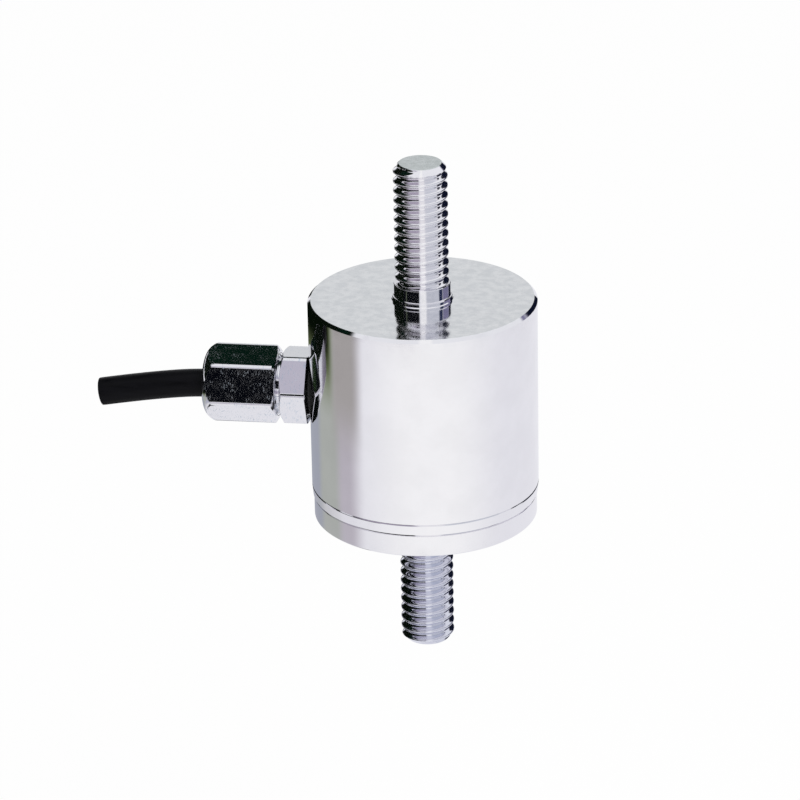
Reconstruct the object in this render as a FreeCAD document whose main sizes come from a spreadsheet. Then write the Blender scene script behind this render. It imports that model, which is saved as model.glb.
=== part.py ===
"""Miniature in-line load cell: a steel cylinder with an M6 stud at each end and a cable gland.

Frame: millimetres, +Z up the load axis, origin on the axis at the cell's lower face, where
the lower stud leaves it. The cable gland points along -X.
"""
import math
import os

import FreeCAD, Part
import Sketcher

App = FreeCAD
Vector = App.Vector

doc = App.newDocument("LoadCell")

# Driving dimensions in millimetres and degrees. Every one is set here and nowhere else.
DIMENSIONS = [
    # Turned body
    ("body_diameter", 25.4, "outside diameter of the housing"),
    ("body_height", 25.7, "lower face to upper face"),
    ("rim_chamfer", 0.35, "chamfer round the upper face"),
    ("housing_wall", 1.8, "side wall"),
    ("top_wall", 2.8, "closed end"),
    ("band_height", 1.15, "turned band below the seam line"),
    ("band_taper", 0.1, "how far the band draws in at its lower edge"),
    ("seam_width", 0.2, "fine groove above the band"),
    ("seam_depth", 0.14, "fine groove above the band"),
    # Sensing element, which is also the lower end plate
    ("base_height", 2.4, "visible rim"),
    ("base_step", 0.2, "rim radius below the housing radius"),
    ("base_chamfer", 0.15, "lower edge of the rim"),
    ("joint_width", 0.25, "weld groove between rim and housing"),
    ("joint_depth", 0.3, "weld groove below the rim radius"),
    ("register_height", 2.4, "spigot that centres the housing"),
    ("register_wall", 1.3, "spigot wall"),
    ("web_thickness", 1.2, "the annular web that bends under load"),
    ("web_relief", 0.5, "how far the web lies above the lower face"),
    ("web_corner", 0.4, "fillets at the web's edges"),
    ("hub_diameter", 10.0, "boss inside the web"),
    ("hub_height", 8.5, "seat of the terminal board"),
    ("hub_chamfer", 0.3, "upper edge of the boss"),
    ("socket_depth", 7.2, "tapped socket for the lower stud"),
    ("spigot_diameter", 5.0, "peg that centres the terminal board"),
    ("spigot_height", 1.7, "peg above the board's seat"),
    ("fit_gap", 0.05, "radial clearance of registers and screwed fits"),
    # Studs, plain at their thread's outer diameter
    ("stud_diameter", 6.0, "M6"),
    ("stud_reach", 15.8, "free length beyond the body"),
    ("tip_depth", 0.65, "end chamfer, radial"),
    ("tip_length", 0.65, "end chamfer, along the stud"),
    ("relief_depth", 0.45, "thread relief inside the socket, radial"),
    ("relief_length", 1.0, "thread relief inside the socket"),
    ("lower_shank", 6.6, "length screwed into the hub"),
    ("flange_diameter", 6.7, "flange of the upper stud"),
    ("flange_height", 0.5, "flange of the upper stud"),
    ("flange_chamfer", 0.1, "upper edge of the flange"),
    ("collar_diameter", 6.34, "plain collar above the flange"),
    ("collar_height", 1.5, "plain collar above the flange"),
    ("collar_chamfer", 0.12, "upper edge of the collar"),
    ("lock_nut_across", 10.0, "nut inside the closed end"),
    ("lock_nut_height", 3.2, "nut inside the closed end"),
    ("shank_past_nut", 0.7, "end of the upper stud below its nut"),
    # Terminal board and what it carries
    ("board_gap", 1.05, "register's inside to the board's edge"),
    ("board_thickness", 1.0, "round board"),
    ("board_notch", 1.6, "key slot in the board's edge"),
    ("gauge_share", 0.75, "gauge carrier's length over the flat part of the web"),
    ("gauge_width", 2.2, "gauge carrier"),
    ("gauge_thickness", 0.06, "gauge carrier"),
    ("grid_share", 0.53, "measuring grid's length over the carrier's"),
    ("grid_width", 1.4, "measuring grid on the carrier"),
    ("grid_thickness", 0.03, "measuring grid and tabs"),
    ("tab_share", 0.21, "solder tab over the carrier's length"),
    ("tab_spacing", 1.2, "between the two tabs of a gauge"),
    ("gauge_wire", 0.2, "jumper wire diameter"),
    ("gauge_joint_inset", 0.9, "gauge wires' solder joints inside the board's edge"),
    ("gauge_joint_radius", 0.45, "solder joint of a gauge wire"),
    ("core_joint_radius", 0.65, "solder joint of a cable core"),
    ("joint_height", 0.35, "solder joints"),
    ("joint_slope", 0.25, "how far a joint draws in towards its top"),
    ("wire_lane", 0.55, "gauge wires inside the register wall"),
    ("wire_rise", 0.9, "gauge wires above the board"),
    ("chip_length", 1.6, "trimming resistor"),
    ("chip_width", 0.8, "trimming resistor"),
    ("chip_height", 0.45, "trimming resistor"),
    ("chip_cap", 0.3, "metal end of a resistor"),
    ("chip_proud", 0.04, "how far the metal ends stand proud"),
    ("chip_inset", 2.4, "resistors inside the board's edge"),
    # Cable gland
    ("port_height", 14.6, "gland axis above the lower face"),
    ("port_thread", 5.0, "thread in the housing wall"),
    ("spot_face", 7.3, "flat turned into the wall for the O-ring"),
    ("spot_depth", 0.55, "flat turned into the wall for the O-ring"),
    ("gland_stand_off", 0.05, "hexagon to the crown of the wall"),
    ("gland_inner_reach", 0.7, "thread end inside the wall"),
    ("hex_across", 7.8, "across flats of both hexagons"),
    ("base_length", 3.02, "fixed hexagon"),
    ("base_turn", 35.0, "facet above the horizontal, towards the front"),
    ("hex_gap", 0.49, "bare thread between the hexagons"),
    ("nut_length", 8.41, "domed nut"),
    ("nut_turn", 17.0, "facet above the horizontal, towards the front"),
    ("nut_thread", 7.0, "thread under the domed nut"),
    ("nut_dome", 2.0, "radius of the nut's rounded end"),
    ("hex_chamfer", 0.4, "end chamfer of a hexagon at its corners, along the axis"),
    ("mouth_diameter", 4.0, "cable hole in the nut's end"),
    ("mouth_chamfer", 0.15, "edge of the cable hole"),
    ("nut_end_wall", 2.6, "solid end of the nut"),
    ("seal_length", 4.2, "rubber bush"),
    ("seal_diameter", 5.2, "rubber bush"),
    ("seal_proud", 0.6, "bush beyond its pocket"),
    ("thrust_diameter", 6.5, "ring between bush and nut"),
    ("thrust_thickness", 0.6, "ring between bush and nut"),
    ("thrust_clearance", 0.12, "radial clearance round the cable"),
    ("ring_play", 0.05, "end play of the thrust ring"),
    ("seal_ring_cord", 0.57, "O-ring section"),
    ("seal_ring_radius", 3.02, "O-ring centre line"),
    ("ferrule_diameter", 4.4, "crimped stop on the cable"),
    ("ferrule_length", 2.8, "crimped stop on the cable"),
    ("slip_gap", 0.02, "radial clearance between cable and bores"),
    # Cable
    ("cable_diameter", 3.14, "jacket"),
    ("jacket_bore", 2.1, "jacket inside"),
    ("shield_outer", 2.06, "braid outside"),
    ("shield_inner", 1.84, "braid inside"),
    ("core_diameter", 0.7, "insulated core"),
    ("core_offset", 0.37, "core centre from the cable's centre, each way"),
    ("jacket_trim", 6.2, "jacket's inner end from the load axis"),
    ("shield_trim", 5.6, "braid's inner end from the load axis"),
]

sheet = doc.addObject("Spreadsheet::Sheet", "Dims")
for row, (name, number, note) in enumerate(DIMENSIONS, start=1):
    sheet.set("A%d" % row, name)
    sheet.set("B%d" % row, str(number))
    sheet.set("C%d" % row, note)
    sheet.setAlias("B%d" % row, name)
doc.recompute()


class Length:
    """A size that carries its value and the sheet expression that gives it."""

    def __init__(self, value, text):
        self.value = float(value)
        self.text = text

    @staticmethod
    def of(other):
        return other if isinstance(other, Length) else Length(other, repr(float(other)))

    def __add__(self, other):
        other = Length.of(other)
        return Length(self.value + other.value, "(%s + %s)" % (self.text, other.text))

    def __sub__(self, other):
        other = Length.of(other)
        return Length(self.value - other.value, "(%s - %s)" % (self.text, other.text))

    def __mul__(self, other):
        other = Length.of(other)
        return Length(self.value * other.value, "(%s * %s)" % (self.text, other.text))

    def __truediv__(self, other):
        other = Length.of(other)
        return Length(self.value / other.value, "(%s / %s)" % (self.text, other.text))

    def __neg__(self):
        return Length(-self.value, "(0 - %s)" % self.text)


def dim(name):
    """The named driving dimension."""
    return Length(sheet.get(name), "Dims.%s" % name)


ZERO = Length(0.0, "0")

# Radii and heights that several pieces share
body_radius = dim("body_diameter") / 2
bore_radius = body_radius - dim("housing_wall")
seat_height = dim("base_height") + dim("joint_width")
seam_height = seat_height + dim("band_height")
ceiling = dim("body_height") - dim("top_wall")
register_radius = bore_radius - dim("fit_gap")
web_outer = register_radius - dim("register_wall")
web_top = dim("web_relief") + dim("web_thickness")
hub_radius = dim("hub_diameter") / 2
stud_radius = dim("stud_diameter") / 2
stud_hole = stud_radius + dim("fit_gap")
board_top = dim("hub_height") + dim("board_thickness")
board_radius = web_outer - dim("board_gap")
gauge_joint_circle = board_radius - dim("gauge_joint_inset")

# The gauges lie midway between hub and register, on the flat part of the web
TAB_EDGE_SHARE = 0.25
gauge_centre = (hub_radius + web_outer) / 2
gauge_length = (web_outer - hub_radius - dim("web_corner") * 2) * dim("gauge_share")
tab_size = gauge_length * dim("tab_share")
tab_outer = gauge_centre + gauge_length / 2 - tab_size * TAB_EDGE_SHARE
tab_middle = tab_outer - tab_size / 2

# Places along the gland, measured from the load axis
spot_plane = body_radius - dim("spot_depth")
hex_start = body_radius + dim("gland_stand_off")
hex_end = hex_start + dim("base_length")
nut_start = hex_end + dim("hex_gap")
nut_end = nut_start + dim("nut_length")
nut_shoulder = nut_end - dim("nut_end_wall")
thrust_end = nut_shoulder - dim("ring_play")
seal_end = thrust_end - dim("thrust_thickness")
seal_start = seal_end - dim("seal_length")
spindle_end = seal_end - dim("seal_proud")
gland_inner_end = bore_radius - dim("gland_inner_reach")
cable_radius = dim("cable_diameter") / 2
cable_bore = cable_radius + dim("slip_gap")
nut_thread_radius = dim("nut_thread") / 2

# How far a cutting outline runs past the piece
CUT_PAST = 1.0


def make_body(label):
    """An empty body whose label is its file's name."""
    body = doc.addObject("PartDesign::Body", label)
    body.Label = label
    return body


def origin_plane(body, role):
    """One of the body's own origin planes."""
    return next(f for f in body.Origin.OriginFeatures if f.Role == role)


def new_sketch(body, name, role="XZ_Plane", height=None):
    """A sketch on an origin plane, moved along its normal where a height is given."""
    sketch = body.newObject("Sketcher::SketchObject", name)
    sketch.AttachmentSupport = (origin_plane(body, role), [""])
    sketch.MapMode = "FlatFace"
    if height is not None:
        sketch.setExpression(".AttachmentOffset.Base.z", height.text)
    return sketch


def fix_coordinate(sketch, kind, geometry, point, size):
    """Holds a point's X or Y at a size, or on the axis where the size is nought."""
    if size is None:
        return
    if size is ZERO:
        axis = -2 if kind == "DistanceX" else -1
        sketch.addConstraint(Sketcher.Constraint("PointOnObject", geometry, point, axis))
        return
    index = sketch.addConstraint(Sketcher.Constraint(kind, geometry, point, size.value))
    sketch.setExpression("Constraints[%d]" % index, size.text)


def outline(sketch, corners):
    """Closes a line through the corners, each coordinate held by its size.

    A corner is (x, y), or (x, y, (centre x, centre y)) where an arc leads to it. The arc
    settles the coordinate that is given as a bare number, which is only its first guess.
    """
    def number(size):
        return size.value if isinstance(size, Length) else float(size)

    places = [Vector(number(c[0]), number(c[1]), 0) for c in corners]
    starts = []
    for i, corner in enumerate(corners):
        here, before = places[i], places[i - 1]
        if len(corner) == 2:
            geometry = sketch.addGeometry(Part.LineSegment(before, here), False)
            starts.append((geometry, 1, 2))
            continue
        centre = Vector(corner[2][0].value, corner[2][1].value, 0)
        middle = (before - centre).normalize() + (here - centre).normalize()
        middle = centre + middle.normalize() * (before - centre).Length
        geometry = sketch.addGeometry(Part.Arc(before, middle, here), False)
        forward = sketch.getPoint(geometry, 1).distanceToPoint(before) < 1e-6
        starts.append((geometry, 1, 2) if forward else (geometry, 2, 1))
        fix_coordinate(sketch, "DistanceX", geometry, 3, corner[2][0])
        fix_coordinate(sketch, "DistanceY", geometry, 3, corner[2][1])
    for i, corner in enumerate(corners):
        geometry, _, last = starts[i]
        following, first, _ = starts[(i + 1) % len(corners)]
        sketch.addConstraint(Sketcher.Constraint("Coincident", geometry, last, following, first))
        if isinstance(corner[0], Length):
            fix_coordinate(sketch, "DistanceX", geometry, last, corner[0])
        if isinstance(corner[1], Length):
            fix_coordinate(sketch, "DistanceY", geometry, last, corner[1])


def circle(sketch, radius, centre_x=ZERO, centre_y=ZERO):
    """A full circle about the given centre."""
    centre = Vector(centre_x.value, centre_y.value, 0)
    geometry = sketch.addGeometry(Part.Circle(centre, Vector(0, 0, 1), radius.value), False)
    index = sketch.addConstraint(Sketcher.Constraint("Radius", geometry, radius.value))
    sketch.setExpression("Constraints[%d]" % index, radius.text)
    fix_coordinate(sketch, "DistanceX", geometry, 3, centre_x)
    fix_coordinate(sketch, "DistanceY", geometry, 3, centre_y)


def hexagon(sketch, across, turn):
    """A regular hexagon round the origin with a facet's normal at the given angle."""
    corner_radius = across / math.sqrt(3)
    ring = sketch.addGeometry(Part.Circle(Vector(), Vector(0, 0, 1), corner_radius.value), True)
    index = sketch.addConstraint(Sketcher.Constraint("Radius", ring, corner_radius.value))
    sketch.setExpression("Constraints[%d]" % index, corner_radius.text)
    sketch.addConstraint(Sketcher.Constraint("Coincident", ring, 3, -1, 1))
    angles = [math.radians(turn.value - 30 + 60 * i) for i in range(6)]
    places = [Vector(math.cos(a), math.sin(a), 0) * corner_radius.value for a in angles]
    sides = [sketch.addGeometry(Part.LineSegment(places[i], places[(i + 1) % 6]), False)
             for i in range(6)]
    for i, side in enumerate(sides):
        following = sides[(i + 1) % 6]
        sketch.addConstraint(Sketcher.Constraint("Coincident", side, 2, following, 1))
        sketch.addConstraint(Sketcher.Constraint("PointOnObject", side, 1, ring))
    for side in sides[1:]:
        sketch.addConstraint(Sketcher.Constraint("Equal", sides[0], side))
    direction = turn + 90
    index = sketch.addConstraint(
        Sketcher.Constraint("Angle", sides[0], math.radians(direction.value)))
    sketch.setExpression("Constraints[%d]" % index, "%s * 1 deg" % direction.text)


def revolve(body, name, corners):
    """Turns a closed outline in the XZ plane about the body's Z axis."""
    sketch = new_sketch(body, name + "_profile")
    outline(sketch, corners)
    feature = body.newObject("PartDesign::Revolution", name)
    feature.Profile = sketch
    feature.ReferenceAxis = (sketch, ["V_Axis"])
    feature.Angle = 360
    doc.recompute()
    return feature


def checked_cut(body, feature, before):
    """Stops where a cut takes nothing away."""
    doc.recompute()
    if feature.Shape.Volume > before - 1e-3:
        raise RuntimeError("%s: %s cuts nothing" % (body.Label, feature.Name))
    return feature


def groove(body, name, corners):
    """Turns away what lies inside a closed outline in the XZ plane."""
    before = body.Shape.Volume
    sketch = new_sketch(body, name + "_profile")
    outline(sketch, corners)
    feature = body.newObject("PartDesign::Groove", name)
    feature.Profile = sketch
    feature.ReferenceAxis = (sketch, ["V_Axis"])
    feature.Angle = 360
    return checked_cut(body, feature, before)


def pad(body, sketch, name, length):
    """Extrudes a sketch along its normal."""
    feature = body.newObject("PartDesign::Pad", name)
    feature.Profile = sketch
    feature.setExpression("Length", length.text)
    doc.recompute()
    return feature


def pocket_through(body, sketch, name, reverse):
    """Cuts a sketch to one side of its plane, through all that lies there."""
    before = body.Shape.Volume
    feature = body.newObject("PartDesign::Pocket", name)
    feature.Profile = sketch
    feature.Type = "ThroughAll"
    feature.Reversed = reverse
    return checked_cut(body, feature, before)


def circular_edges(shape, wanted):
    """Names of the full circles about Z that have one of the wanted (radius, height)."""
    names = []
    for i, edge in enumerate(shape.Edges, start=1):
        if not isinstance(edge.Curve, Part.Circle):
            continue
        for radius, height in wanted:
            same_radius = abs(edge.Curve.Radius - radius.value) < 1e-4
            if same_radius and abs(edge.Curve.Center.z - height.value) < 1e-4:
                names.append("Edge%d" % i)
    return names


def dress(body, kind, name, base, wanted, size):
    """A fillet or chamfer on circular edges of the feature before it."""
    names = circular_edges(base.Shape, wanted)
    if len(names) != len(wanted):
        raise RuntimeError("%s: %s finds %d edges" % (body.Label, name, len(names)))
    feature = body.newObject("PartDesign::" + kind, name)
    feature.Base = (base, names)
    feature.setExpression("Radius" if kind == "Fillet" else "Size", size.text)
    doc.recompute()
    return feature


def on_gland_axis(body):
    """Lays a piece turned about Z along the gland, its +Z pointing outwards along -X."""
    body.Placement = App.Placement(Vector(), App.Rotation(Vector(0, 1, 0), -90))
    body.setExpression(".Placement.Base.z", "Dims.port_height")


def make_housing():
    """The cup: closed above, open below, with the gland's port in its side."""
    body = make_body("housing")
    half_seam = dim("seam_width") / 2
    revolve(body, "cup", [
        (bore_radius, seat_height),
        (body_radius - dim("band_taper"), seat_height),
        (body_radius, seam_height - half_seam),
        (body_radius - dim("seam_depth"), seam_height),
        (body_radius, seam_height + half_seam),
        (body_radius, dim("body_height") - dim("rim_chamfer")),
        (body_radius - dim("rim_chamfer"), dim("body_height")),
        (stud_hole, dim("body_height")),
        (stud_hole, ceiling),
        (bore_radius, ceiling),
    ])
    sketch = new_sketch(body, "port_circle", "YZ_Plane")
    circle(sketch, dim("port_thread") / 2 + dim("fit_gap"), ZERO, dim("port_height"))
    pocket_through(body, sketch, "port", False)
    sketch = new_sketch(body, "spot_circle", "YZ_Plane", -spot_plane)
    circle(sketch, dim("spot_face") / 2, ZERO, dim("port_height"))
    pocket_through(body, sketch, "spot", False)


def make_sensing_element():
    """Rim, thin annular web and hub in one piece, turned from both sides."""
    body = make_body("sensing_element")
    rim_radius = body_radius - dim("base_step")
    joint_radius = rim_radius - dim("joint_depth")
    spigot_radius = dim("spigot_diameter") / 2
    spigot_top = dim("hub_height") + dim("spigot_height")
    relief = dim("web_relief")
    turned = revolve(body, "element", [
        (stud_hole, ZERO),
        (hub_radius, ZERO),
        (hub_radius, relief),
        (web_outer, relief),
        (web_outer, ZERO),
        (rim_radius, ZERO),
        (rim_radius, dim("base_height")),
        (joint_radius, dim("base_height")),
        (joint_radius, seat_height),
        (register_radius, seat_height),
        (register_radius, seat_height + dim("register_height")),
        (web_outer, seat_height + dim("register_height")),
        (web_outer, web_top),
        (hub_radius, web_top),
        (hub_radius, dim("hub_height")),
        (spigot_radius, dim("hub_height")),
        (spigot_radius, spigot_top),
        (ZERO, spigot_top),
        (ZERO, dim("socket_depth")),
        (stud_hole, dim("socket_depth")),
    ])
    corners = [(hub_radius, relief), (web_outer, relief), (hub_radius, web_top), (web_outer, web_top)]
    rounded = dress(body, "Fillet", "web_corners", turned, corners, dim("web_corner"))
    broken = dress(body, "Chamfer", "hub_edge", rounded, [(hub_radius, dim("hub_height"))],
                   dim("hub_chamfer"))
    dress(body, "Chamfer", "rim_edge", broken, [(rim_radius, ZERO)], dim("base_chamfer"))


def make_lower_stud():
    """Screwed into the hub; its thread relief lies inside the socket."""
    body = make_body("lower_stud")
    tip_radius = stud_radius - dim("tip_depth")
    neck_radius = stud_radius - dim("relief_depth")
    top = dim("lower_shank")
    revolve(body, "stud", [
        (ZERO, -dim("stud_reach")),
        (tip_radius, -dim("stud_reach")),
        (stud_radius, dim("tip_length") - dim("stud_reach")),
        (stud_radius, ZERO),
        (neck_radius, dim("relief_depth")),
        (neck_radius, dim("relief_length")),
        (stud_radius, dim("relief_length") + dim("relief_depth")),
        (stud_radius, top - dim("tip_depth")),
        (tip_radius, top),
        (ZERO, top),
    ])


def make_upper_stud():
    """Passes through the closed end and bears on it with a flange."""
    body = make_body("upper_stud")
    face = dim("body_height")
    tip_radius = stud_radius - dim("tip_depth")
    flange_radius = dim("flange_diameter") / 2
    collar_radius = dim("collar_diameter") / 2
    flange_top = face + dim("flange_height")
    collar_top = flange_top + dim("collar_height")
    low = ceiling - dim("lock_nut_height") - dim("shank_past_nut")
    tip = face + dim("stud_reach")
    revolve(body, "stud", [
        (ZERO, low),
        (tip_radius, low),
        (stud_radius, low + dim("tip_depth")),
        (stud_radius, face),
        (flange_radius, face),
        (flange_radius, flange_top - dim("flange_chamfer")),
        (flange_radius - dim("flange_chamfer"), flange_top),
        (collar_radius, flange_top),
        (collar_radius, collar_top - dim("collar_chamfer")),
        (collar_radius - dim("collar_chamfer"), collar_top),
        (stud_radius, collar_top),
        (stud_radius, tip - dim("tip_length")),
        (tip_radius, tip),
        (ZERO, tip),
    ])


def chamfer_hexagon(body, name, across, low, high, at_low, at_high):
    """Turns away the corners of a hexagonal prism at one end or both."""
    corner = across / math.sqrt(3)
    outside = corner + CUT_PAST
    drop = dim("hex_chamfer")
    inner = corner - drop * math.sqrt(3)
    if at_low:
        groove(body, name + "_low", [(inner, low), (outside, low), (outside, low + drop),
                                     (corner, low + drop)])
    if at_high:
        groove(body, name + "_high", [(corner, high - drop), (outside, high - drop),
                                      (outside, high), (inner, high)])


def make_lock_nut():
    """The thin nut that draws the upper stud's flange against the closed end."""
    body = make_body("stud_lock_nut")
    low = ceiling - dim("lock_nut_height")
    sketch = new_sketch(body, "hexagon", "XY_Plane", low)
    hexagon(sketch, dim("lock_nut_across"), ZERO)
    pad(body, sketch, "prism", dim("lock_nut_height"))
    chamfer_hexagon(body, "corner", dim("lock_nut_across"), low, ceiling, True, True)
    sketch = new_sketch(body, "bore_circle", "XY_Plane", low)
    circle(sketch, stud_hole)
    pocket_through(body, sketch, "bore", True)


def make_board():
    """The round board on the hub's peg, with a key slot in its edge."""
    body = make_body("terminal_board")
    sketch = new_sketch(body, "disc_circles", "XY_Plane", dim("hub_height"))
    circle(sketch, board_radius)
    circle(sketch, dim("spigot_diameter") / 2 + dim("fit_gap"))
    pad(body, sketch, "disc", dim("board_thickness"))
    sketch = new_sketch(body, "slot_circle", "XY_Plane", dim("hub_height"))
    circle(sketch, dim("board_notch") / 2, ZERO, board_radius)
    pocket_through(body, sketch, "slot", True)


def rectangle(sketch, low_x, high_x, low_y, high_y):
    """Four corners from four sizes."""
    outline(sketch, [(low_x, low_y), (high_x, low_y), (high_x, high_y), (low_x, high_y)])


GAUGE_COUNT = 4
FIRST_GAUGE_ANGLE = 45


def gauge_angle(i):
    """Where gauge i lies round the web, in degrees."""
    return FIRST_GAUGE_ANGLE + i * 360 / GAUGE_COUNT


def make_gauge(i):
    """A foil gauge on the web: carrier, measuring grid and two solder tabs."""
    body = make_body("strain_gauge_%d" % (i + 1))
    inner_end = gauge_centre - gauge_length / 2
    half_width = dim("gauge_width") / 2
    sketch = new_sketch(body, "carrier_outline", "XY_Plane", web_top)
    rectangle(sketch, inner_end, inner_end + gauge_length, -half_width, half_width)
    pad(body, sketch, "carrier", dim("gauge_thickness"))
    foil_height = web_top + dim("gauge_thickness")
    grid_low = inner_end + tab_size / 2
    grid_high = grid_low + gauge_length * dim("grid_share")
    sketch = new_sketch(body, "grid_outline", "XY_Plane", foil_height)
    rectangle(sketch, grid_low, grid_high, -dim("grid_width") / 2, dim("grid_width") / 2)
    pad(body, sketch, "grid", dim("grid_thickness"))
    for side, name in ((-1, "left"), (1, "right")):
        middle = dim("tab_spacing") / 2 * side
        sketch = new_sketch(body, name + "_tab_outline", "XY_Plane", foil_height)
        rectangle(sketch, tab_outer - tab_size, tab_outer, middle - tab_size / 2,
                  middle + tab_size / 2)
        pad(body, sketch, name + "_tab", dim("grid_thickness"))
    body.Placement = App.Placement(Vector(), App.Rotation(Vector(0, 0, 1), gauge_angle(i)))


CHIP_ANGLES = (0, 70, 290)


def make_resistor(i):
    """A chip resistor that trims the bridge: ceramic block with two metal ends."""
    body = make_body("trim_resistor_%d" % (i + 1))
    half_length = dim("chip_length") / 2
    half_width = dim("chip_width") / 2
    proud = dim("chip_proud")
    middle = board_radius - dim("chip_inset")
    sketch = new_sketch(body, "block_outline", "XY_Plane", board_top)
    rectangle(sketch, middle - half_width, middle + half_width, -half_length, half_length)
    pad(body, sketch, "block", dim("chip_height"))
    for side, name in ((-1, "left"), (1, "right")):
        outer = half_length * side
        inner = (half_length - dim("chip_cap")) * side
        low, high = (outer, inner) if side < 0 else (inner, outer)
        sketch = new_sketch(body, name + "_end_outline", "XY_Plane", board_top)
        rectangle(sketch, middle - half_width - proud, middle + half_width + proud, low, high)
        pad(body, sketch, name + "_end", dim("chip_height") + proud)
    body.Placement = App.Placement(Vector(), App.Rotation(Vector(0, 0, 1), CHIP_ANGLES[i]))


def make_gland_body():
    """Fixed hexagon with a thread into the wall and one under the nut, and the bush's pocket."""
    body = make_body("gland_body")
    sketch = new_sketch(body, "hexagon", "XY_Plane", hex_start)
    hexagon(sketch, dim("hex_across"), dim("base_turn") - 90)
    pad(body, sketch, "prism", dim("base_length"))
    chamfer_hexagon(body, "corner", dim("hex_across"), hex_start, hex_end, False, True)
    port_radius = dim("port_thread") / 2
    revolve(body, "spindle", [
        (ZERO, gland_inner_end),
        (port_radius, gland_inner_end),
        (port_radius, hex_start),
        (nut_thread_radius, hex_start),
        (nut_thread_radius, spindle_end),
        (ZERO, spindle_end),
    ])
    sketch = new_sketch(body, "bore_circle", "XY_Plane", gland_inner_end)
    circle(sketch, cable_bore)
    pocket_through(body, sketch, "bore", True)
    sketch = new_sketch(body, "pocket_circle", "XY_Plane", seal_start)
    circle(sketch, dim("seal_diameter") / 2 + dim("fit_gap"))
    pocket_through(body, sketch, "seal_pocket", True)
    on_gland_axis(body)


def make_gland_nut():
    """The domed hexagonal nut that squeezes the bush on the cable."""
    body = make_body("gland_nut")
    sketch = new_sketch(body, "hexagon", "XY_Plane", nut_start)
    hexagon(sketch, dim("hex_across"), dim("nut_turn") - 90)
    pad(body, sketch, "prism", dim("nut_length"))
    chamfer_hexagon(body, "corner", dim("hex_across"), nut_start, nut_end, True, False)
    corner = dim("hex_across") / math.sqrt(3)
    outside = corner + CUT_PAST
    dome = dim("nut_dome")
    groove(body, "dome", [
        (corner - dome, nut_end.value, (corner - dome, nut_end - dome)),
        (corner - dome, nut_end + CUT_PAST),
        (outside, nut_end + CUT_PAST),
        (outside, nut_end - dome),
        (corner, nut_end - dome),
    ])
    mouth = dim("mouth_diameter") / 2
    thread_bore = nut_thread_radius + dim("fit_gap")
    groove(body, "bore", [
        (ZERO, nut_start - CUT_PAST),
        (thread_bore, nut_start - CUT_PAST),
        (thread_bore, nut_shoulder),
        (mouth, nut_shoulder),
        (mouth, nut_end - dim("mouth_chamfer")),
        (mouth + dim("mouth_chamfer") + CUT_PAST, nut_end + CUT_PAST),
        (ZERO, nut_end + CUT_PAST),
    ])
    on_gland_axis(body)


def make_ring(label, inner, outer, low, high):
    """A plain ring on the gland's axis."""
    body = make_body(label)
    revolve(body, "ring", [(inner, low), (outer, low), (outer, high), (inner, high)])
    on_gland_axis(body)


def make_seal():
    """The rubber bush, with its outer end bevelled."""
    body = make_body("gland_seal")
    outer = dim("seal_diameter") / 2
    revolve(body, "bush", [
        (cable_bore, seal_start),
        (outer, seal_start),
        (outer, spindle_end),
        (outer - dim("seal_proud"), seal_end),
        (cable_bore, seal_end),
    ])
    on_gland_axis(body)


def make_seal_ring():
    """The O-ring between the wall's flat and the fixed hexagon."""
    body = make_body("gland_o_ring")
    sketch = new_sketch(body, "ring_circle")
    circle(sketch, dim("seal_ring_cord") / 2, dim("seal_ring_radius"), (spot_plane + hex_start) / 2)
    feature = body.newObject("PartDesign::Revolution", "ring")
    feature.Profile = sketch
    feature.ReferenceAxis = (sketch, ["V_Axis"])
    feature.Angle = 360
    on_gland_axis(body)


# The cable's route, chosen by hand: distance from the load axis, and drop below the gland axis.
# It is straight through the gland and droops gently to its cut end.
BEND_START = (23.4, 0.0)
BEND_MIDDLE = (30.4, 0.66)
CUT_END = (36.65, 1.78)


def cable_point(distance, drop, side=0.0):
    """A point given from the gland's axis."""
    return Vector(-distance, side, dim("port_height").value - drop)


ARC_SHARE = 0.45


def rounded_path(points, name=None):
    """Straight runs joined by arcs as large as the runs allow."""
    edges = []
    start = points[0]
    for before, corner, after in zip(points, points[1:], points[2:]):
        back = before - corner
        ahead = after - corner
        half_turn = (math.pi - back.getAngle(ahead)) / 2
        tangent = ARC_SHARE * min(back.Length, ahead.Length)
        radius = tangent / math.tan(half_turn)
        if name:
            print("%s: radius %.1f" % (name, radius))
        first = corner + back.normalize() * tangent
        last = corner + ahead.normalize() * tangent
        inward = (first + last) * 0.5 - corner
        to_centre = radius / math.cos(half_turn)
        middle = corner + inward.normalize() * (to_centre - radius)
        edges.append(Part.LineSegment(start, first).toShape())
        edges.append(Part.Arc(first, middle, last).toShape())
        start = last
    edges.append(Part.LineSegment(start, points[-1]).toShape())
    return Part.Wire(edges)


def tube(points, outer, inner=None, name=None):
    """A round tube, or a rod where it has no bore, along a rounded path."""
    path = rounded_path(points, name)
    along = points[1] - points[0]

    def rod(radius):
        ring = Part.Wire(Part.Circle(points[0], along, radius).toShape())
        return path.makePipe(Part.Face(ring))

    solid = rod(outer).cut(rod(inner)) if inner else rod(outer)
    section = math.pi * (outer ** 2 - (inner or 0) ** 2)
    share = solid.Volume / (section * path.Length)
    if abs(share - 1) > 0.01:
        raise RuntimeError("%s: volume is %.3f of section times length" % (name, share))
    return solid


def add_shape(label, shape):
    """A piece whose shape is made here from the sheet's sizes."""
    piece = doc.addObject("Part::Feature", label)
    piece.Label = label
    piece.Shape = shape


def route_from(inner_distance, side=0.0, lift=0.0):
    """The cable's route from an inner end, moved off its centre line."""
    stations = [(inner_distance, 0.0), BEND_START, BEND_MIDDLE, CUT_END]
    return [cable_point(distance, drop - lift, side) for distance, drop in stations]


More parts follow.
